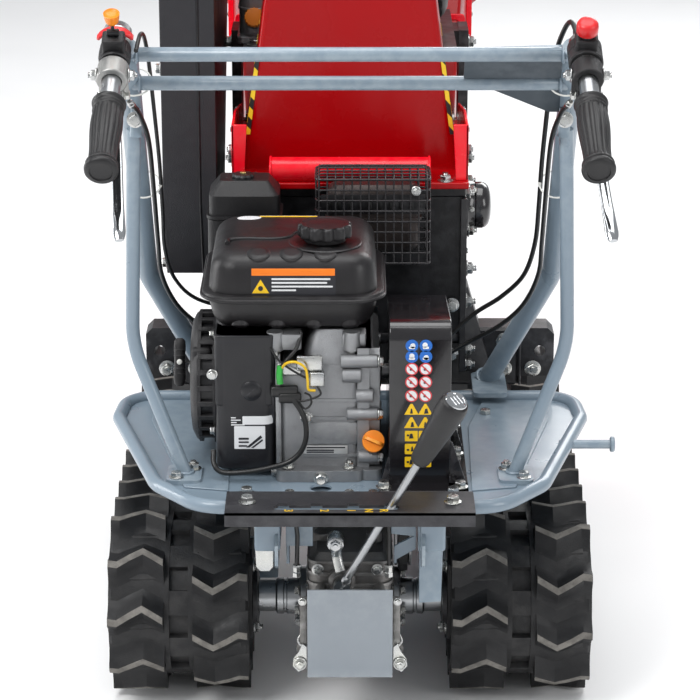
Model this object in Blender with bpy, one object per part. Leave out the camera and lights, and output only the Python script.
"""Tracked walk-behind wood chipper with two engines, as separate parts.

Units are metres. +X is the operator's right, +Y the direction of travel, +Z up.
Shapes are worked out in the machine frame, whose origin is on the ground under
the rear axle, and add() moves them to the part frame, centred on the ground.
"""

from math import atan2, cos, pi, radians, sin

import bmesh
import bpy
import numpy as np
from mathutils import Matrix, Vector

# Driving dimensions
PART_CENTRE = Vector((0.0, 0.4685, 0.0))
GAP = 0.0003

TRACK_X = 0.220
TRACK_WIDTH = 0.180
PITCH_COUNT = 31
AXLE_Z = 0.122
IDLER_Y = 0.630
BELT_INNER_R = 0.090
BELT_OUTER_R = 0.102
LUG_R = 0.122
WHEEL_R = 0.0875
ROLLER_R = 0.038
ROLLER_Z = 0.0708
ROLLER_YS = (0.21, 0.42)

RAIL_TOP = 0.3265
PAN_TOP = 0.335
RIM_R = 0.009
RIM_Z = 0.336

LEVER_BALL = Vector((-0.010, -0.196, 0.218))
LEVER_TOP = Vector((0.123, -0.337, 0.512))

CRANK_Y = -0.020
CRANK_Z = 0.441
INPUT_Y = 0.020
INPUT_Z = 0.216
DRIVE_PULLEY_R = 0.038
INPUT_PULLEY_R = 0.055

ROTOR_Y = 0.400
ROTOR_Z = 0.546
ROTOR_PULLEY_R = 0.072
DECK_TOP = 0.760
CHIPPER_CRANK_Y = 0.600
CHIPPER_CRANK_Z = 0.866
CHIPPER_PULLEY_R = 0.050

HANDLE_TOP = Vector((0.268, -0.200, 0.915))
HANDLE_END = Vector((0.2718, -0.4087, 0.8059))
HANDLE_TUBE_R = 0.011
BUTTON_NOSE = 0.0075
CROSSBARS = ((-0.200, 0.888), (-0.168, 0.847))
POST_FOOT = Vector((0.187, 0.215, 0.348))
POST_BEND = Vector((0.264, 0.100, 0.536))
POST_TOP = Vector((0.259, -0.205, 0.898))

# Colours as (red, green, blue), roughness, metallic
PAINT_GREY = ((0.30, 0.36, 0.42), 0.45, 0.0)
PAINT_BLACK = ((0.020, 0.020, 0.022), 0.45, 0.0)
PAINT_RED = ((0.62, 0.01, 0.015), 0.28, 0.0)
RUBBER = ((0.022, 0.022, 0.022), 0.75, 0.0)
PLASTIC = ((0.025, 0.025, 0.027), 0.5, 0.0)
ORANGE = ((0.85, 0.30, 0.02), 0.4, 0.0)
CAST = ((0.55, 0.56, 0.57), 0.5, 0.8)
STEEL = ((0.55, 0.55, 0.55), 0.35, 1.0)
CHROME = ((0.85, 0.85, 0.85), 0.12, 1.0)


# ---------------------------------------------------------------- mesh tools

def make_mesh(points, faces):
    """One closed mesh with its faces pointing out."""
    work = bmesh.new()
    corners = [work.verts.new(point) for point in points]
    for face in faces:
        work.faces.new([corners[index] for index in face])
    bmesh.ops.recalc_face_normals(work, faces=work.faces)
    mesh = bpy.data.meshes.new("shape")
    work.to_mesh(mesh)
    work.free()
    return mesh


def loft(rings, closed=False):
    """Skin over rings of equal count; closed joins the last ring to the first."""
    count = len(rings[0])
    points = [Vector(point) for ring in rings for point in ring]
    faces = []
    spans = len(rings) if closed else len(rings) - 1
    for row in range(spans):
        here = row * count
        there = ((row + 1) % len(rings)) * count
        for column in range(count):
            after = (column + 1) % count
            faces.append((here + column, here + after, there + after, there + column))
    if not closed:
        faces.append(tuple(range(count)))
        faces.append(tuple((len(rings) - 1) * count + index for index in range(count)))
    return make_mesh(points, faces)


def rounded_outline(half_x, half_y, corner, steps=3):
    """Rounded rectangle about the origin, counter-clockwise."""
    outline = []
    for quarter, (side_x, side_y) in enumerate(((1, 1), (-1, 1), (-1, -1), (1, -1))):
        for step in range(steps + 1):
            angle = (quarter + step / steps) * pi / 2
            outline.append((side_x * (half_x - corner) + corner * cos(angle),
                            side_y * (half_y - corner) + corner * sin(angle)))
    return outline


def slab(low, high, corner, layers, steps=3):
    """Rounded-rectangle block; layers are (height fraction, inset) from the base up."""
    low, high = Vector(low), Vector(high)
    centre = (low + high) / 2
    half = (high - low) / 2
    rings = []
    for fraction, inset in layers:
        outline = rounded_outline(half.x - inset, half.y - inset,
                                  max(corner - inset, corner * 0.4), steps)
        height = low.z + fraction * (high.z - low.z)
        rings.append([(centre.x + x, centre.y + y, height) for x, y in outline])
    return loft(rings)


def block(low, high, bevel=0.0, segments=1):
    """Box between two corners, with bevelled edges when bevel is given."""
    low, high = Vector(low), Vector(high)
    work = bmesh.new()
    bmesh.ops.create_cube(work, size=1.0)
    size = high - low
    bmesh.ops.scale(work, vec=size, verts=work.verts)
    bmesh.ops.translate(work, vec=(low + high) / 2, verts=work.verts)
    if bevel:
        bmesh.ops.bevel(work, geom=work.edges[:], offset=bevel, segments=segments,
                        profile=0.5, affect="EDGES")
    mesh = bpy.data.meshes.new("block")
    work.to_mesh(mesh)
    work.free()
    return mesh


def aim(mesh, origin, axis):
    """Turn a mesh made about +Z so that it points along axis from origin."""
    turn = Vector((0, 0, 1)).rotation_difference(Vector(axis)).to_matrix().to_4x4()
    mesh.transform(Matrix.Translation(origin) @ turn)
    return mesh


def turned(profile, origin, axis, sides=24, hollow=False):
    """Lathe (radius, height) points about an axis; hollow closes the profile on itself."""
    rings = []
    for radius, height in profile:
        angles = [2 * pi * (step + 0.5) / sides for step in range(sides)]
        rings.append([(radius * cos(a), radius * sin(a), height) for a in angles])
    return aim(loft(rings, closed=hollow), origin, axis)


def rod(start, end, radius, sides=16):
    """Straight round bar."""
    start, end = Vector(start), Vector(end)
    length = (end - start).length
    return turned([(radius, 0), (radius, length)], start, end - start, sides)


def filleted(points, bend, steps=4, closed=False):
    """Polyline with its corners replaced by arcs of the given radius."""
    points = [Vector(point) for point in points]
    count = len(points)
    path = []
    for index, point in enumerate(points):
        if not closed and index in (0, count - 1):
            path.append(point)
            continue
        before = (points[index - 1] - point).normalized()
        after = (points[(index + 1) % count] - point).normalized()
        half = before.angle(after) / 2
        reach = bend / np.tan(half)
        hub = point + (before + after).normalized() * (bend / sin(half))
        first = point + before * reach - hub
        last = point + after * reach - hub
        turn = first.cross(last).normalized()
        for step in range(steps + 1):
            swing = Matrix.Rotation(first.angle(last) * step / steps, 3, turn)
            path.append(hub + swing @ first)
    return path


def smooth_path(points, steps=4):
    """Catmull-Rom curve through the points."""
    points = [Vector(point) for point in points]
    padded = [points[0] * 2 - points[1]] + points + [points[-1] * 2 - points[-2]]
    path = []
    for index in range(1, len(padded) - 2):
        a, b, c, d = padded[index - 1:index + 3]
        for step in range(steps):
            t = step / steps
            path.append(0.5 * (2 * b + (c - a) * t + (2 * a - 5 * b + 4 * c - d) * t ** 2
                               + (3 * b - a - 3 * c + d) * t ** 3))
    path.append(points[-1])
    return path


def swept(path, radius, sides=12, closed=False):
    """Round bar along a path, kept from twisting."""
    path = [Vector(point) for point in path]
    count = len(path)
    side = None
    rings = []
    for index, point in enumerate(path):
        before = path[index - 1] if closed or index else point
        after = path[(index + 1) % count] if closed or index < count - 1 else point
        along = (after - before).normalized()
        if side is None:
            side = along.cross(Vector((0.02, 0.03, 1))).normalized()
        side = (side - along * side.dot(along)).normalized()
        up = along.cross(side)
        rings.append([point + radius * (side * cos(2 * pi * step / sides)
                                        + up * sin(2 * pi * step / sides))
                      for step in range(sides)])
    return loft(rings, closed=closed)


def prism(outline, low, high, across="X"):
    """Extrude an outline; across names the axis of the extrusion."""
    def place(u, v, w):
        if across == "X":
            return (w, u, v)
        if across == "Y":
            return (u, w, v)
        return (u, v, w)
    return loft([[place(u, v, low) for u, v in outline],
                 [place(u, v, high) for u, v in outline]])


def arc(centre, radius, start, end, steps):
    """Points on an arc in a plane, angles in degrees."""
    angles = [radians(start + (end - start) * step / steps) for step in range(steps + 1)]
    return [(centre[0] + radius * cos(a), centre[1] + radius * sin(a)) for a in angles]


def combine(base, tools, operation):
    """Exact Boolean of closed meshes, baked to one mesh."""
    target = bpy.data.objects.new("target", base)
    bpy.context.collection.objects.link(target)
    helpers = [target]
    for tool in tools:
        helper = bpy.data.objects.new("tool", tool)
        bpy.context.collection.objects.link(helper)
        helpers.append(helper)
        modifier = target.modifiers.new("Combine", "BOOLEAN")
        modifier.operation = operation
        modifier.object = helper
        modifier.solver = "EXACT"
    graph = bpy.context.evaluated_depsgraph_get()
    result = bpy.data.meshes.new_from_object(target.evaluated_get(graph))
    for helper in helpers:
        bpy.data.objects.remove(helper)
    return result


def union(base, *tools):
    return combine(base, tools, "UNION")


def cut(base, *tools):
    return combine(base, tools, "DIFFERENCE")


def mirrored(mesh):
    """Copy of a mesh on the other side of the machine."""
    copy = mesh.copy()
    copy.transform(Matrix.Scale(-1, 4, (1, 0, 0)))
    copy.flip_normals()
    return copy


def add(name, mesh, finish, origin=(0, 0, 0)):
    """Make the named part, with its origin at its own reference point."""
    colour, roughness, metallic = finish
    origin = Vector(origin)
    mesh.transform(Matrix.Translation(-origin))
    mesh.name = name
    mesh.shade_smooth()
    mesh.set_sharp_from_angle(angle=radians(35))
    material = bpy.data.materials.new(name)
    material.use_nodes = True
    shader = material.node_tree.nodes["Principled BSDF"]
    shader.inputs["Base Color"].default_value = (*colour, 1.0)
    shader.inputs["Roughness"].default_value = roughness
    shader.inputs["Metallic"].default_value = metallic
    mesh.materials.clear()
    mesh.materials.append(material)
    part = bpy.data.objects.new(name, mesh)
    part.location = origin - PART_CENTRE
    bpy.context.collection.objects.link(part)
    return part


def both_sides(name, mesh, finish, origin=(0, 0, 0)):
    """Add the right-hand part and its mirror image on the left."""
    origin = Vector(origin)
    left = mirrored(mesh)
    add(name + "_right", mesh, finish, origin)
    add(name + "_left", left, finish, (-origin.x, origin.y, origin.z))


# -------------------------------------------------------------- undercarriage

def track_point(distance, radius):
    """Place (y, z) on the track's loop, at a distance along its neutral line."""
    neutral = (BELT_INNER_R + BELT_OUTER_R) / 2
    bend = pi * neutral
    distance %= 2 * (IDLER_Y + bend)
    if distance < IDLER_Y:
        return distance, AXLE_Z - radius
    distance -= IDLER_Y
    if distance < bend:
        angle = -pi / 2 + distance / neutral
        return IDLER_Y + radius * cos(angle), AXLE_Z + radius * sin(angle)
    distance -= bend
    if distance < IDLER_Y:
        return IDLER_Y - distance, AXLE_Z + radius
    angle = pi / 2 + (distance - IDLER_Y) / neutral
    return radius * cos(angle), AXLE_Z + radius * sin(angle)


def track():
    """Rubber track: a belt with two rows of zigzag lugs round a plain middle."""
    neutral = (BELT_INNER_R + BELT_OUTER_R) / 2
    pitch = 2 * (IDLER_Y + pi * neutral) / PITCH_COUNT
    half = TRACK_WIDTH / 2
    zigzag = 0.17
    columns = ((-half, 1, -zigzag), (-0.052, 1, zigzag), (-0.016, 1, -zigzag), (0, 0, 0),
               (0.016, 1, zigzag), (0.052, 1, -zigzag), (half, 1, zigzag))
    stations = ((0.00, 0), (0.10, 1), (0.42, 1), (0.52, 0))
    rings = []
    for link in range(PITCH_COUNT):
        for fraction, raised in stations:
            ring = []
            for across, lugged, shift in columns:
                radius = LUG_R if raised and lugged else BELT_OUTER_R
                place = track_point((link + fraction + shift) * pitch, radius)
                ring.append((TRACK_X + across, *place))
            for across, shift in ((half, zigzag), (-half, -zigzag)):
                place = track_point((link + fraction + shift) * pitch, BELT_INNER_R)
                ring.append((TRACK_X + across, *place))
            rings.append(ring)
    return loft(rings, closed=True)


def sprocket():
    """Ten-tooth drive wheel on its half shaft."""
    teeth = 10
    outline = []
    for tooth in range(teeth):
        middle = 360 / teeth * tooth
        outline += arc((0, 0), 0.070, middle - 17, middle - 11, 1)
        outline += arc((0, 0), WHEEL_R, middle - 5, middle + 5, 1)
        outline += arc((0, 0), 0.070, middle + 11, middle + 17, 1)[:1]
    wheel = prism(outline, -0.020, 0.020, across="Z")
    aim(wheel, (TRACK_X, 0, AXLE_Z), (1, 0, 0))
    shaft = turned([(0.012, 0.062), (0.012, 0.152), (0.034, 0.153), (0.034, 0.262),
                    (0.028, 0.266)], (0, 0, AXLE_Z), (1, 0, 0), 20)
    return union(shaft, wheel)


def wheel_on_stub(radius, half_width, bore, waist):
    """Grooved wheel with a through bore, about +Z."""
    lip = half_width * 0.4
    return [(bore, -half_width), (radius, -half_width), (radius, -lip), (waist, -lip + 0.004),
            (waist, lip - 0.004), (radius, lip), (radius, half_width), (bore, half_width)]


def undercarriage():
    both_sides("track", track(), RUBBER, (TRACK_X, 0, AXLE_Z))
    both_sides("sprocket", sprocket(), STEEL, (TRACK_X, 0, AXLE_Z))
    centre = (TRACK_X + 0.004, IDLER_Y, AXLE_Z)
    profile = wheel_on_stub(WHEEL_R, 0.038, 0.0103, 0.076)
    both_sides("idler", turned(profile, centre, (1, 0, 0), 20, hollow=True), PAINT_BLACK, centre)
    for place, y in zip(("rear", "front"), ROLLER_YS):
        centre = (TRACK_X + 0.004, y, ROLLER_Z)
        profile = [(0.0083, -0.034), (ROLLER_R, -0.034), (ROLLER_R, 0.034), (0.0083, 0.034)]
        wheel = turned(profile, centre, (1, 0, 0), 16, hollow=True)
        both_sides("roller_" + place, wheel, PAINT_BLACK, centre)


def chassis():
    """Two rails, cross members, and a beam in each track that carries its wheels."""
    pieces = []
    for side in (-1, 1):
        def box(x0, x1, y0, y1, z0, z1, bevel=0.0, side=side):
            xs = sorted((side * x0, side * x1))
            return block((xs[0], y0, z0), (xs[1], y1, z1), bevel)
        pieces.append(box(0.086, 0.118, -0.190, 0.640, 0.262, RAIL_TOP, 0.003))
        for y in (-0.15, 0.13):
            pieces.append(box(0.090, 0.114, y, y + 0.03, 0.320, PAN_TOP - 0.004 - GAP))
        tail = prism([(-0.185, 0.290), (-0.205, 0.276), (-0.205, 0.250), (-0.178, 0.236),
                      (-0.120, 0.236), (-0.090, 0.290)], 0.0885, 0.0945)
        pieces.append(tail if side == 1 else mirrored(tail))
        pieces.append(box(0.150, 0.176, 0.060, 0.600, 0.058, 0.150))
        pieces.append(box(0.152, 0.174, 0.580, 0.655, 0.095, 0.147))
        for y in (0.12, 0.46):
            pieces.append(box(0.098, 0.126, y, y + 0.05, 0.095, 0.280))
            pieces.append(box(0.120, 0.156, y + 0.005, y + 0.045, 0.100, 0.140))
        for y in ROLLER_YS:
            pieces.append(rod((side * 0.170, y, ROLLER_Z), (side * 0.262, y, ROLLER_Z), 0.008, 10))
        pieces.append(rod((side * 0.170, IDLER_Y, AXLE_Z), (side * 0.266, IDLER_Y, AXLE_Z),
                          0.010, 12))
    pieces.append(block((-0.1, 0.600, 0.266), (0.1, 0.636, 0.322)))
    pieces.append(block((-0.1, -0.130, 0.290), (0.1, -0.100, 0.322)))
    pieces.append(block((-0.1, 0.205, 0.266), (0.1, 0.215, 0.300)))
    add("chassis_frame", union(pieces[0], *pieces[1:]), PAINT_GREY)


def transmission():
    case = slab((-0.050, -0.170, 0.085), (0.050, 0.075, 0.250), 0.016,
                ((0, 0.008), (0.05, 0), (0.45, 0), (0.47, 0.0), (0.95, 0), (1, 0.008)))
    nose_y = LEVER_BALL.y + 0.0115
    nose = rod((LEVER_BALL.x, -0.160, LEVER_BALL.z), (LEVER_BALL.x, nose_y, LEVER_BALL.z), 0.012)
    flange = slab((-0.056, -0.160, 0.166), (0.056, 0.065, 0.178), 0.014, ((0, 0), (1, 0)))
    shaft = rod((0.045, INPUT_Y, INPUT_Z), (0.079, INPUT_Y, INPUT_Z), 0.008, 12)
    bosses = [rod((side * 0.036, -0.165, z), (side * 0.036, -0.2217, z), 0.008, 12)
              for side in (-1, 1) for z in (0.135, 0.205)]
    add("transmission_case", union(case, nose, flange, shaft, *bosses), CAST)

    profile = [(0.0135, 0.0503), (0.036, 0.0503), (0.036, 0.058), (0.025, 0.060), (0.025, 0.134),
               (0.042, 0.137), (0.042, 0.149), (0.0135, 0.149)]
    housing = turned(profile, (0, 0, AXLE_Z), (1, 0, 0), 20, hollow=True)
    both_sides("axle_housing", housing, CAST, (0.0503, 0, AXLE_Z))

    bent = [(-0.2220, 0.226), (-0.2250, 0.226), (-0.2250, 0.126), (-0.2310, 0.112),
            (-0.2282, 0.111), (-0.2220, 0.1255)]
    add("transmission_cover", prism(bent, -0.0525, 0.0525), PAINT_GREY, (0, -0.225, 0.226))

    profile = pulley_profile(INPUT_PULLEY_R, 0.0083)
    wheel = turned(profile, (0.069, INPUT_Y, INPUT_Z), (1, 0, 0), 20, hollow=True)
    add("transmission_pulley", wheel, STEEL, (0.069, INPUT_Y, INPUT_Z))


def pulley_profile(radius, bore):
    """V-groove pulley, 21 mm wide, about +Z."""
    return [(bore, -0.0105), (radius, -0.0105), (radius, -0.008), (radius - 0.009, -0.005),
            (radius - 0.009, 0.005), (radius, 0.008), (radius, 0.0105), (bore, 0.0105)]


def belt(first, first_r, second, second_r, low, high, thickness):
    """Belt round two pulleys whose centres are (y, z); radii are the belt's inside."""
    first, second = Vector(first), Vector(second)
    span = second - first
    heading = np.degrees(atan2(span.y, span.x))
    lean = np.degrees(np.arcsin((first_r - second_r) / span.length))
    rings = []
    for level, extra in ((low, 0), (high, 0), (high, thickness), (low, thickness)):
        wrap_first = arc(first, first_r + extra, heading + 90 - lean, heading + 270 + lean, 12)
        wrap_second = arc(second, second_r + extra, heading - 90 + lean, heading + 90 - lean, 12)
        rings.append([(level, y, z) for y, z in wrap_first + wrap_second])
    return loft(rings, closed=True)


# ------------------------------------------------------- platform and shifter

def platform():
    """Tray with a round rim, an opening for the drive belt and a side peg."""
    half = [(0.300, 0.180), (0.306, 0.095), (0.240, -0.150), (0.182, -0.225)]
    corners = half + [(-x, y) for x, y in reversed(half)]
    rim_path = filleted([(x, y, RIM_Z) for x, y in corners], 0.030, 3, closed=True)
    rim = swept(rim_path, RIM_R, 8, closed=True)
    outline = [(point.x, point.y) for point in rim_path]
    tray = prism(outline, PAN_TOP - 0.004, PAN_TOP, across="Z")
    tray = cut(tray, block((0.054, -0.070, 0.320), (0.084, 0.068, 0.345)))
    peg = rod((0.270, 0.0, RIM_Z - 0.002), (0.338, 0.0, RIM_Z - 0.002), 0.0055, 12)
    head = rod((0.336, 0.0, RIM_Z - 0.002), (0.342, 0.0, RIM_Z - 0.002), 0.010, 16)
    add("platform", union(rim, tray, peg, head), PAINT_GREY)


def shifter():
    """Slotted gear gate, a bent strip bolted over the rim, and the lever through it."""
    top = RIM_Z + RIM_R + GAP
    strip = block((-0.150, -0.278, top), (0.150, -0.207, top + 0.0037))
    lip = block((-0.150, -0.278, 0.331), (0.150, -0.2745, top + 0.002))
    slot = slab((-0.092, -0.2680, 0.340), (0.059, -0.2435, 0.360), 0.010, ((0, 0), (1, 0)))
    add("gear_selector_plate", cut(union(strip, lip), slot), PAINT_BLACK, (0, -0.278, top))

    along = LEVER_TOP - LEVER_BALL
    length = along.length
    ball = turned([(0.005, -0.0105), (0.009, -0.0065), (0.011, 0), (0.009, 0.0065), (0.005, 0.0105),
                   (0.005, length - 0.108), (0.011, length - 0.106), (0.0125, length - 0.100),
                   (0.0175, length - 0.020), (0.0165, length - 0.006), (0.012, length)],
                  LEVER_BALL, along, 16)
    add("gear_lever", ball, PLASTIC, LEVER_BALL)


# --------------------------------------------------------------- track engine

def engine():
    """Small horizontal-shaft engine: crankcase, cylinder, shroud, tank and exhaust."""
    base = slab((-0.0920, -0.140, PAN_TOP + GAP), (0.0405, 0.080, 0.347), 0.012, ((0, 0), (1, 0)))
    case = slab((-0.0922, -0.122, 0.340), (0.0405, 0.078, 0.480), 0.022,
                ((0, 0), (0.9, 0), (1, 0.010)))
    neck = slab((-0.0900, -0.085, 0.465), (0.036, 0.090, 0.5215), 0.015, ((0, 0), (1, 0.004)))
    cylinder = block((-0.048, -0.070, -0.050), (0.048, 0.070, 0.050), 0.006)
    cylinder.transform(Matrix.Translation((-0.024, 0.110, 0.458))
                       @ Matrix.Rotation(radians(20), 4, "X"))
    filler = rod((0.029, -0.110, 0.376), (0.029, -0.1262, 0.3837), 0.011, 12)
    add("engine_block", union(base, case, neck, cylinder, filler), CAST, (0, CRANK_Y, CRANK_Z))

    volute = turned([(0.098, 0.0925), (0.1035, 0.098), (0.1035, 0.150), (0.094, 0.168)],
                    (0, CRANK_Y, CRANK_Z), (-1, 0, 0), 24)
    duct = slab((-0.160, -0.100, 0.440), (-0.0925, 0.080, 0.5215), 0.020, ((0, 0), (1, 0)))
    cover = turned([(0.084, 0.160), (0.084, 0.185), (0.074, 0.199), (0.030, 0.2005)],
                   (0, CRANK_Y, CRANK_Z - 0.006), (-1, 0, 0), 24)
    roof = block((-0.30, -0.30, 0.5215), (0.0, 0.30, 0.70))
    add("fan_shroud", cut(union(volute, duct, cover), roof), PLASTIC,
        (-0.0925, CRANK_Y, CRANK_Z))

    grip_centre = Vector((-0.2145, -0.048, 0.462))
    grip = turned([(0.0055, -0.030), (0.008, -0.024), (0.007, 0), (0.008, 0.024), (0.0055, 0.030)],
                  grip_centre, (0, 0.34, 0.94), 12)
    add("recoil_handle", grip, PLASTIC, grip_centre)

    tank_low, tank_high = Vector((-0.175, -0.113, 0.523)), Vector((0.034, 0.104, 0.622))
    body = slab(tank_low, tank_high, 0.040,
                ((0, 0.016), (0.16, 0.003), (0.40, 0), (0.62, 0), (0.86, 0.008), (0.96, 0.018),
                 (1, 0.030)), steps=4)
    seam = slab(tank_low + Vector((-0.012, -0.013, 0.037)),
                Vector((tank_high.x + 0.012, tank_high.y + 0.012, 0.568)), 0.045,
                ((0, 0), (1, 0)), steps=4)
    add("fuel_tank", union(body, seam), PLASTIC, (-0.07, 0, 0.523))
    cap_at = Vector((-0.031, -0.048, tank_high.z + GAP))
    cap = turned([(0.026, 0), (0.026, 0.005), (0.034, 0.006), (0.034, 0.020), (0.029, 0.025),
                  (0.012, 0.027)], cap_at, (0, 0, 1), 24)
    add("fuel_cap", cap, PLASTIC, cap_at)

    box = slab((-0.186, 0.1185, 0.525), (-0.090, 0.194, 0.652), 0.018,
               ((0, 0.004), (0.05, 0), (0.9, 0), (1, 0.010)))
    add("air_filter", box, PLASTIC, (-0.138, 0.155, 0.525))

    can = slab((-0.030, 0.134, 0.552), (0.092, 0.182, 0.642), 0.018,
               ((0, 0.008), (0.08, 0), (0.92, 0), (1, 0.008)))
    add("muffler", can, STEEL, (0.031, 0.158, 0.552))
    cage = cut(block((-0.046, 0.121, 0.540), (0.106, 0.194, 0.660), 0.0015),
               block((-0.044, 0.123, 0.530), (0.104, 0.192, 0.658)))
    add("muffler_guard", cage, PAINT_BLACK, (0.030, 0.158, 0.540))

    cap_axis = Vector((0, -0.9, 0.43)).normalized()
    cap_at = Vector((0.029, -0.1262, 0.3837)) + cap_axis * 0.0005
    cap = turned([(0.010, 0), (0.014, 0.001), (0.014, 0.009), (0.007, 0.011), (0.005, 0.018)],
                 cap_at, cap_axis, 12)
    add("dipstick", cap, ORANGE, cap_at)

    profile = [(0.010, 0.0408), (0.010, 0.0585), (DRIVE_PULLEY_R, 0.0586),
               (DRIVE_PULLEY_R, 0.061), (DRIVE_PULLEY_R - 0.009, 0.064),
               (DRIVE_PULLEY_R - 0.009, 0.074), (DRIVE_PULLEY_R, 0.077),
               (DRIVE_PULLEY_R, 0.0795), (0.010, 0.080), (0.010, 0.092)]
    add("engine_pulley", turned(profile, (0, CRANK_Y, CRANK_Z), (1, 0, 0), 18), STEEL,
        (0.069, CRANK_Y, CRANK_Z))
    loop = belt((CRANK_Y, CRANK_Z), DRIVE_PULLEY_R + 0.0006, (INPUT_Y, INPUT_Z),
                INPUT_PULLEY_R + 0.0006, 0.063, 0.075, 0.006)
    add("drive_belt", loop, RUBBER, (0.069, CRANK_Y, CRANK_Z))

    outline = ([(-0.150, PAN_TOP + GAP)] + arc((-0.100, 0.468), 0.050, 180, 90, 4)
               + arc((0.050, 0.458), 0.050, 80, 0, 4) + [(0.100, PAN_TOP + GAP)])
    inner = ([(-0.147, 0.330)] + arc((-0.100, 0.468), 0.047, 180, 90, 4)
             + arc((0.050, 0.458), 0.047, 80, 0, 4) + [(0.097, 0.330)])
    shell = prism(outline, 0.048, 0.124)
    foot = block((0.046, -0.178, PAN_TOP + GAP), (0.146, 0.112, PAN_TOP + 0.004), 0.0)
    hollow = prism(inner, 0.051, 0.121)
    bore = rod((0.040, CRANK_Y, CRANK_Z), (0.060, CRANK_Y, CRANK_Z), 0.0125, 16)
    add("drive_belt_guard", cut(union(shell, foot), hollow, bore), PLASTIC,
        (0.099, -0.150, PAN_TOP))


# ----------------------------------------------------------------- handlebars

def handle_point(distance, drop=0.0):
    """Point on the right handle tube, or below it, at a distance from its top end."""
    along = (HANDLE_END - HANDLE_TOP).normalized()
    down = Vector((0, -along.z, along.y)).normalized()
    return HANDLE_TOP + along * distance + down * drop


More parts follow.
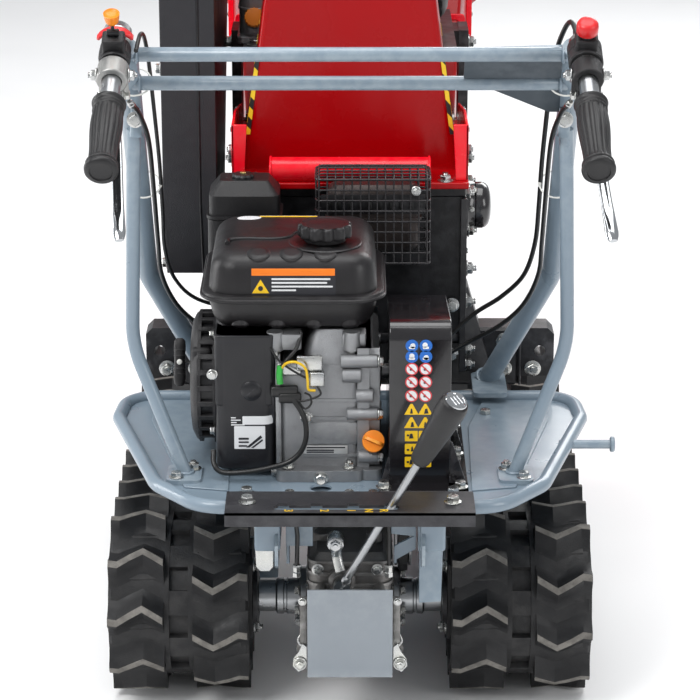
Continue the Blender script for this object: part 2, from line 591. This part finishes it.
def handlebar():
    """Welded frame: two bent posts with feet, two crossbars, a bracket and handle tubes."""
    pieces = []
    for side in (1, -1):
        def flip(point, side=side):
            return (side * point[0], point[1], point[2])
        path = filleted([flip(POST_FOOT), flip(POST_BEND), flip(POST_TOP)], 0.10, 5)
        pieces.append(swept(path, 0.0135, 14))
        xs = sorted((side * 0.166, side * 0.212))
        pieces.append(block((xs[0], 0.150, RIM_Z + RIM_R + GAP), (xs[1], 0.240, 0.3515)))
        pieces.append(swept([flip(HANDLE_TOP), flip(HANDLE_END)], HANDLE_TUBE_R, 14))
    for y, z in CROSSBARS:
        pieces.append(rod((-0.258, y, z), (0.258, y, z), 0.0085, 12))
    (upper_y, upper_z), (lower_y, lower_z) = CROSSBARS
    lean = (lower_y - upper_y) / (upper_z - lower_z)
    outline = [(0.133, 0.855), (0.133, 0.890), (0.252, 0.8945), (0.252, 0.805), (0.236, 0.805),
               (0.146, 0.848)]
    bracket = loft([[(x, upper_y + (upper_z - z) * lean + offset, z) for x, z in outline]
                    for offset in (-0.002, 0.002)])
    add("handlebar", union(pieces[0], *pieces[1:], bracket), PAINT_GREY)

    foot = Vector((0.205, -0.120, PAN_TOP + 0.004))
    path = filleted([foot, (0.269, -0.100, 0.502), (0.2575, -0.1425, 0.786)], 0.12, 5)
    tube = swept(path, 0.0085, 12)
    pad = slab((0.185, -0.150, PAN_TOP + GAP), (0.228, -0.092, PAN_TOP + 0.006), 0.010,
               ((0, 0), (1, 0)))
    both_sides("brace", union(tube, pad), PAINT_GREY, foot)

    along = HANDLE_END - HANDLE_TOP
    profile = [(HANDLE_TUBE_R + GAP, 0.128), (0.020, 0.128), (0.020, 0.132), (0.0175, 0.135),
               (0.0165, 0.150), (0.0180, 0.185), (0.0165, 0.218), (0.0185, 0.236),
               (0.0165, 0.2430), (HANDLE_TUBE_R + GAP, 0.2430)]
    both_sides("grip", turned(profile, HANDLE_TOP, along, 16, hollow=True), RUBBER,
               handle_point(0.128))

    pivot = handle_point(0.077, 0.0300)
    for side, end in (("right", Vector((0.290, -0.412, 0.724))),
                      ("left", Vector((-0.255, -0.403, 0.722)))):
        way = 1 if side == "right" else -1
        start = Vector((way * pivot.x, pivot.y, pivot.z))
        knee = start.lerp(end, 0.35) + Vector((0, 0.004, 0.012))
        root = start + (knee - start).normalized() * 0.006
        blade = swept(smooth_path([root, knee, end], 5), 0.0045, 8)
        eye = turned([(0.0034, -0.0045), (0.009, -0.0045), (0.009, 0.0045), (0.0034, 0.0045)],
                     start, (1, 0, 0), 16, hollow=True)
        hole = rod(start - Vector((0.02, 0, 0)), start + Vector((0.02, 0, 0)), 0.0034, 16)
        add("clutch_lever_" + side, cut(union(eye, blade), hole), CHROME, start)

    for side in ("right", "left"):
        way = 1 if side == "right" else -1
        clamp = turned([(0.018, 0.064), (0.018, 0.090)], HANDLE_TOP, along, 16)
        switch = turned([(0.020, 0.030), (0.020, 0.060)], HANDLE_TOP, along, 16)
        neck = turned([(0.014, 0.058), (0.014, 0.066)], HANDLE_TOP, along, 16)
        lugs = [rod(pivot + Vector((x0, 0, 0)), pivot + Vector((x1, 0, 0)), 0.011, 14)
                for x0, x1 in ((-0.0110, -0.0064), (0.0064, 0.0110))]
        arms = [rod(pivot + Vector((x, 0, 0)), handle_point(0.077) + Vector((x, 0, 0)), 0.0024, 8)
                for x in (-0.0088, 0.0088)]
        pin = rod(pivot - Vector((0.008, 0, 0)), pivot + Vector((0.008, 0, 0)), 0.0028, 12)
        nose = turned([(0.0085, 0.020), (0.0085, 0.030 + BUTTON_NOSE * (way == 1))], (0, 0, 0),
                      (0, 0, 1), 16)
        tower = union(block((-0.014, -0.012, 0), (0.014, 0.012, 0.030), 0.004), nose)
        aim(tower, handle_point(0.045), handle_point(0.045, -1.0) - handle_point(0.045))
        bore = rod(handle_point(-0.01), handle_point(0.12), HANDLE_TUBE_R + GAP, 16)
        body = cut(union(clamp, switch, neck, tower, pin, *lugs, *arms), bore)
        if way == -1:
            body = mirrored(body)
        add(side + "_control_housing", body, PLASTIC, (way * HANDLE_TOP.x, *HANDLE_TOP.yz))

    up = (handle_point(0.045, -1.0) - handle_point(0.045)).normalized()
    seat = handle_point(0.045) + up * (0.030 + GAP)
    button = turned([(0.003, 0.0125), (0.0092, 0.0125), (0.0092, 0.0048), (0.0125, 0.0048),
                     (0.0125, 0.016), (0.0105, 0.0200), (0.004, 0.021)], seat, up, 16)
    add("stop_button", button, PAINT_RED, seat)
    hinge = Vector((-seat.x, seat.y, seat.z)) + up * 0.0048
    barrel = rod(hinge - Vector((0.007, 0, 0)), hinge + Vector((0.007, 0, 0)), 0.0042, 12)
    stem = turned([(0.0022, 0.0), (0.0022, 0.014), (0.0075, 0.016), (0.0085, 0.022),
                   (0.006, 0.027)], hinge, up, 12)
    add("throttle_lever", union(barrel, stem), ORANGE, hinge)


def cables():
    """Control cables, held along the posts and down to what they pull."""
    clutch = [(0.252, -0.236, 0.838), (0.246, -0.200, 0.818), (0.240, -0.142, 0.772),
              (0.2405, -0.070, 0.690), (0.242, 0.000, 0.607), (0.242, 0.050, 0.548),
              (0.226, 0.090, 0.495), (0.196, 0.122, 0.455), (0.155, 0.155, 0.420),
              (0.115, 0.186, 0.383), (0.084, 0.2035, 0.345), (0.064, 0.195, 0.302),
              (0.048, 0.140, 0.250), (0.036, 0.098, 0.222), (0.034, 0.0792, 0.214)]
    line = swept(smooth_path(clutch, 2), 0.003, 6)
    both_sides("cable_clutch", line, RUBBER, clutch[0])
    throttle = [(-0.2450, -0.234, 0.899), (-0.242, -0.205, 0.912), (-0.240, -0.172, 0.902),
                (-0.2375, -0.145, 0.868), (-0.2345, -0.105, 0.790), (-0.2340, -0.050, 0.716),
                (-0.236, 0.010, 0.640), (-0.238, 0.060, 0.580), (-0.230, 0.100, 0.530),
                (-0.205, 0.125, 0.494), (-0.160, 0.135, 0.478),
                (-0.120, 0.138, 0.484), (-0.086, 0.132, 0.492)]
    add("cable_throttle", swept(smooth_path(throttle, 2), 0.0025, 6), RUBBER, throttle[0])


# -------------------------------------------------------------------- chipper

def chipper():
    """Drum chipper in its housing, on a cross beam, driven by a belt on the left."""
    beam = block((-0.232, 0.255, RAIL_TOP + 0.0005), (0.232, 0.305, 0.410), 0.004)
    pieces = [beam]
    for side in (-1, 1):
        lug = prism([(0.225, 0.340), (0.275, 0.340), (0.281, 0.352), (0.281, 0.400),
                     (0.272, 0.409), (0.225, 0.409)], 0.258, 0.302, across="Y")
        pieces.append(lug if side == 1 else mirrored(lug))
    bores = [rod((side * 0.262, 0.24, 0.376), (side * 0.262, 0.32, 0.376), 0.008, 12)
             for side in (-1, 1)]
    add("cross_beam", cut(union(*pieces), *bores), PAINT_BLACK, (0, 0.28, RAIL_TOP))

    outer = block((-0.155, 0.222, 0.4105), (0.155, 0.600, 0.605))
    cavity = block((-0.149, 0.228, 0.4165), (0.149, 0.700, 0.700))
    shaft_hole = rod((-0.2, ROTOR_Y, ROTOR_Z), (0.2, ROTOR_Y, ROTOR_Z), 0.018, 20)
    shell = cut(outer, cavity, shaft_hole)
    extras = [block((-0.154, 0.2225, 0.360), (0.154, 0.2275, 0.415)),
              block((-0.150, 0.455, DECK_TOP - 0.008), (0.150, 0.735, DECK_TOP), 0.0),
              block((-0.117, 0.560, RAIL_TOP + 0.0005), (-0.087, 0.590, 0.413)),
              block((0.087, 0.560, RAIL_TOP + 0.0005), (0.117, 0.590, 0.413))]
    for side in (-1, 1):
        xs = sorted((side * 0.158, side * 0.172))
        extras.append(block((xs[0], 0.584, 0.430), (xs[1], 0.650, DECK_TOP - 0.002)))
        xs = sorted((side * 0.152, side * 0.160))
        extras.append(block((xs[0], 0.585, 0.440), (xs[1], 0.5990, 0.602)))
        xs = sorted((side * 0.140, side * 0.171))
        extras.append(block((xs[0], 0.586, 0.720), (xs[1], 0.648, DECK_TOP - 0.003)))
    add("chipper_housing", union(shell, *extras), PAINT_BLACK, (0, ROTOR_Y, ROTOR_Z))

    right = [(0.0155, 0.1553), (0.046, 0.1553), (0.046, 0.166), (0.034, 0.169), (0.034, 0.187),
             (0.026, 0.196), (0.010, 0.197), (0.010, 0.1935), (0.0155, 0.193)]
    plug = rod((0.1925, ROTOR_Y, ROTOR_Z), (0.1965, ROTOR_Y, ROTOR_Z), 0.0165, 24)
    bearing = turned(right, (0, ROTOR_Y, ROTOR_Z), (1, 0, 0), 18, hollow=True)
    add("bearing_right", union(bearing, plug), PAINT_BLACK, (0.1553, ROTOR_Y, ROTOR_Z))
    left = [(0.0155, 0.1553), (0.046, 0.1553), (0.046, 0.164), (0.034, 0.166), (0.034, 0.176),
            (0.0155, 0.177)]
    add("bearing_left", turned(left, (0, ROTOR_Y, ROTOR_Z), (-1, 0, 0), 18, hollow=True),
        PAINT_BLACK, (-0.1553, ROTOR_Y, ROTOR_Z))

    groove = ROTOR_PULLEY_R - 0.009
    profile = [(0.0152, -0.1885), (0.0152, -0.142), (0.070, -0.140), (0.070, 0.140), (0.0152, 0.142),
               (0.0152, 0.200), (ROTOR_PULLEY_R, 0.2005), (ROTOR_PULLEY_R, 0.204), (groove, 0.208),
               (groove, 0.219), (ROTOR_PULLEY_R, 0.223), (ROTOR_PULLEY_R, 0.2265),
               (0.0152, 0.227), (0.0152, 0.238)]
    drum = turned(profile, (0, ROTOR_Y, ROTOR_Z), (-1, 0, 0), 20)
    knives = []
    for turn in (0, 1):
        knife = block((-0.135, -0.012, 0.055), (0.135, 0.004, 0.078), 0.001)
        knife.transform(Matrix.Translation((0, ROTOR_Y, ROTOR_Z))
                        @ Matrix.Rotation(pi * turn + 0.4, 4, "X"))
        knives.append(knife)
    add("rotor", union(drum, *knives), STEEL, (0, ROTOR_Y, ROTOR_Z))

    profile = [(0.0125, 0.1590), (0.0125, 0.2000), (CHIPPER_PULLEY_R, 0.2005),
               (CHIPPER_PULLEY_R, 0.204), (CHIPPER_PULLEY_R - 0.009, 0.208),
               (CHIPPER_PULLEY_R - 0.009, 0.219), (CHIPPER_PULLEY_R, 0.223),
               (CHIPPER_PULLEY_R, 0.2265), (0.0125, 0.227), (0.0125, 0.236)]
    add("chipper_engine_pulley",
        turned(profile, (0, CHIPPER_CRANK_Y, CHIPPER_CRANK_Z), (-1, 0, 0), 18), STEEL,
        (-0.2135, CHIPPER_CRANK_Y, CHIPPER_CRANK_Z))
    loop = belt((ROTOR_Y, ROTOR_Z), ROTOR_PULLEY_R + 0.0006, (CHIPPER_CRANK_Y, CHIPPER_CRANK_Z),
                CHIPPER_PULLEY_R + 0.0006, -0.2215, -0.2055, 0.007)
    add("chipper_belt", loop, RUBBER, (-0.2135, ROTOR_Y, ROTOR_Z))

    outline = [(0.300, 0.575), (0.345, 0.462), (0.460, 0.450), (0.705, 0.800), (0.705, 0.925),
               (0.650, 0.965), (0.340, 0.965), (0.300, 0.925)]
    inner = [(0.3025, 0.576), (0.347, 0.4645), (0.4585, 0.4525), (0.7025, 0.801), (0.7025, 0.9235),
             (0.649, 0.9625), (0.341, 0.9625), (0.3025, 0.924)]
    shell = prism(outline, -0.256, -0.182)
    hollow = prism(inner, -0.2535, -0.1845)
    holes = [rod((-0.19, ROTOR_Y, ROTOR_Z), (-0.17, ROTOR_Y, ROTOR_Z), 0.036, 20),
             rod((-0.19, CHIPPER_CRANK_Y, CHIPPER_CRANK_Z),
                 (-0.17, CHIPPER_CRANK_Y, CHIPPER_CRANK_Z), 0.020, 20)]
    add("chipper_belt_guard", cut(shell, hollow, *holes), PAINT_BLACK, (-0.182, 0.300, 0.575))


def chipper_engine():
    """Larger engine on the deck ahead of the chute, its shaft to the left."""
    y, z = CHIPPER_CRANK_Y, CHIPPER_CRANK_Z
    base = slab((-0.150, y - 0.120, DECK_TOP + GAP), (0.040, y + 0.110, DECK_TOP + 0.014), 0.012,
                ((0, 0), (1, 0)))
    case = slab((-0.157, y - 0.100, DECK_TOP + 0.008), (0.030, y + 0.098, z + 0.070), 0.025,
                ((0, 0), (0.9, 0), (1, 0.012)))
    cylinder = block((-0.062, -0.080, -0.058), (0.062, 0.080, 0.058), 0.006)
    cylinder.transform(Matrix.Translation((-0.060, y + 0.150, z + 0.030))
                       @ Matrix.Rotation(radians(22), 4, "X"))
    volute = turned([(0.098, 0.025), (0.103, 0.034), (0.103, 0.090), (0.092, 0.108)],
                    (0, y, z), (1, 0, 0), 20)
    recoil = turned([(0.080, 0.100), (0.080, 0.128), (0.070, 0.142), (0.030, 0.145)],
                    (0, y, z), (1, 0, 0), 18)
    silencer = slab((-0.140, y + 0.045, z + 0.100), (0.000, y + 0.140, z + 0.190), 0.020,
                    ((0, 0.006), (0.1, 0), (0.9, 0), (1, 0.006)))
    stack = block((-0.090, y + 0.070, z + 0.050), (-0.050, y + 0.110, z + 0.110))
    filler = rod((-0.135, y - 0.090, z - 0.072), (-0.135, y - 0.112, z - 0.062), 0.011, 12)
    knob = rod((-0.135, y - 0.111, z - 0.0625), (-0.135, y - 0.122, z - 0.0575), 0.014, 12)
    mesh = union(base, case, cylinder, volute, recoil, silencer, stack, filler, knob)
    add("chipper_engine", mesh, CAST, (0, y, z))
    low, high = Vector((-0.125, y - 0.120, z + 0.1065)), Vector((0.130, y + 0.040, z + 0.196))
    body = slab(low, high, 0.035, ((0, 0.012), (0.15, 0), (0.75, 0), (0.93, 0.010), (1, 0.025)))
    neck = turned([(0.030, 0), (0.030, 0.018), (0.022, 0.024)],
                  ((low.x + high.x) / 2, y - 0.040, high.z - 0.004), (0, 0, 1), 20)
    add("chipper_tank", union(body, neck), PAINT_RED, (0, y - 0.040, low.z))


def ring_section(centre, half_x, half_depth, tilt):
    """Rectangle across a duct whose line leans forward by tilt degrees from vertical."""
    across = Vector((0, cos(radians(tilt)), -sin(radians(tilt))))
    corners = ((-1, -1), (1, -1), (1, 1), (-1, 1))
    return [Vector((0, *centre)) + Vector((sx * half_x, 0, 0)) + across * (sy * half_depth)
            for sx, sy in corners]


def chute():
    """Tapered discharge chute on its flange, and the flap that aims the chips."""
    wall = 0.003
    line = [((0.375, 0.612), 0.145, 0.105, 0), ((0.375, 0.640), 0.145, 0.105, -4),
            ((0.330, 0.870), 0.115, 0.080, -10), ((0.303, 1.060), 0.092, 0.066, -4),
            ((0.307, 1.180), 0.084, 0.060, 14), ((0.345, 1.270), 0.082, 0.058, 38),
            ((0.415, 1.332), 0.082, 0.056, 62), ((0.500, 1.360), 0.082, 0.056, 76)]
    outer = [ring_section(*entry) for entry in line]
    inner = [ring_section(centre, half - wall, depth - wall, tilt)
             for centre, half, depth, tilt in line]
    duct = loft(outer + inner[::-1], closed=True)
    flange = block((-0.165, 0.198, 0.605 + GAP), (0.165, 0.582, 0.630), 0.002)
    opening = block((-0.142 + 0.001, 0.275, 0.600), (0.142 - 0.001, 0.475, 0.640))
    roll = rod((-0.107, 0.217, 0.644), (0.107, 0.217, 0.644), 0.017, 16)
    mesh = union(cut(flange, opening), duct, roll)
    add("discharge_chute", mesh, PAINT_RED, (0, 0.375, 0.605))

    centre, half, depth, tilt = line[-1]
    forward = Vector((0, sin(radians(tilt)), cos(radians(tilt))))
    up = Vector((0, -cos(radians(tilt)), sin(radians(tilt))))
    hinge = Vector((0, *centre)) + forward * 0.012 + up * (depth + 0.010)
    wide = half - 0.006
    outer = []
    for reach, drop in ((0.0, 0.006), (0.070, 0.018), (0.130, 0.048)):
        here = hinge + forward * reach - up * drop
        outer.append([here + Vector((x, 0, 0)) - up * lift + forward * lean for x, lift, lean in
                      ((-wide, 0.045, 0), (-wide, 0, 0), (wide, 0, 0), (wide, 0.045, 0),
                       (wide - 0.0025, 0.045, 0), (wide - 0.0025, 0.0025, 0),
                       (-wide + 0.0025, 0.0025, 0), (-wide + 0.0025, 0.045, 0))])
    flap = loft(outer)
    barrel = rod(hinge - Vector((wide, 0, 0)), hinge + Vector((wide, 0, 0)), 0.0065, 12)
    add("deflector", union(flap, barrel), PAINT_RED, hinge)


def hopper():
    """Flared infeed hopper, its folding table and the rubber curtain across the throat."""
    wall = 0.003
    sections = [(0.6003, 0.152, 0.425, 0.603), (0.850, 0.170, 0.568, 0.722),
                (1.020, 0.188, 0.666, 0.905), (1.080, 0.200, 0.700, 0.980),
                (1.240, 0.325, 0.765, 1.120)]
    outer = [[(-hx, y, lo), (hx, y, lo), (hx, y, hi), (-hx, y, hi)] for y, hx, lo, hi in sections]
    inner = [[(-hx + wall, y, lo + wall), (hx - wall, y, lo + wall), (hx - wall, y, hi - wall),
              (-hx + wall, y, hi - wall)] for y, hx, lo, hi in sections]
    add("infeed_hopper", loft(outer + inner[::-1], closed=True), PAINT_RED, (0, 0.6, 0.514))

    hinge = Vector((0, 1.248, 0.760))
    table = block((-0.300, 1.248, 0.757), (0.300, 1.360, 0.762))
    sides = [block((x - 0.0015, 1.256, 0.759), (x + 0.0015, 1.358, 0.795)) for x in (-0.298, 0.298)]
    barrel = rod((-0.300, hinge.y, hinge.z), (0.300, hinge.y, hinge.z), 0.006, 12)
    add("hopper_table", union(table, barrel, *sides), PAINT_RED, hinge)

    sheet = block((-0.150, 0.862, 0.585), (0.150, 0.866, 0.722))
    slits = [block((x - 0.0008, 0.855, 0.570), (x + 0.0008, 0.875, 0.700))
             for x in (-0.09, -0.03, 0.03, 0.09)]
    add("feed_curtain", cut(sheet, *slits), RUBBER, (0, 0.864, 0.722))


for leftover in list(bpy.data.objects):
    bpy.data.objects.remove(leftover)

undercarriage()
chassis()
transmission()
platform()
shifter()
engine()
handlebar()
cables()
chipper()
chipper_engine()
chute()
hopper()
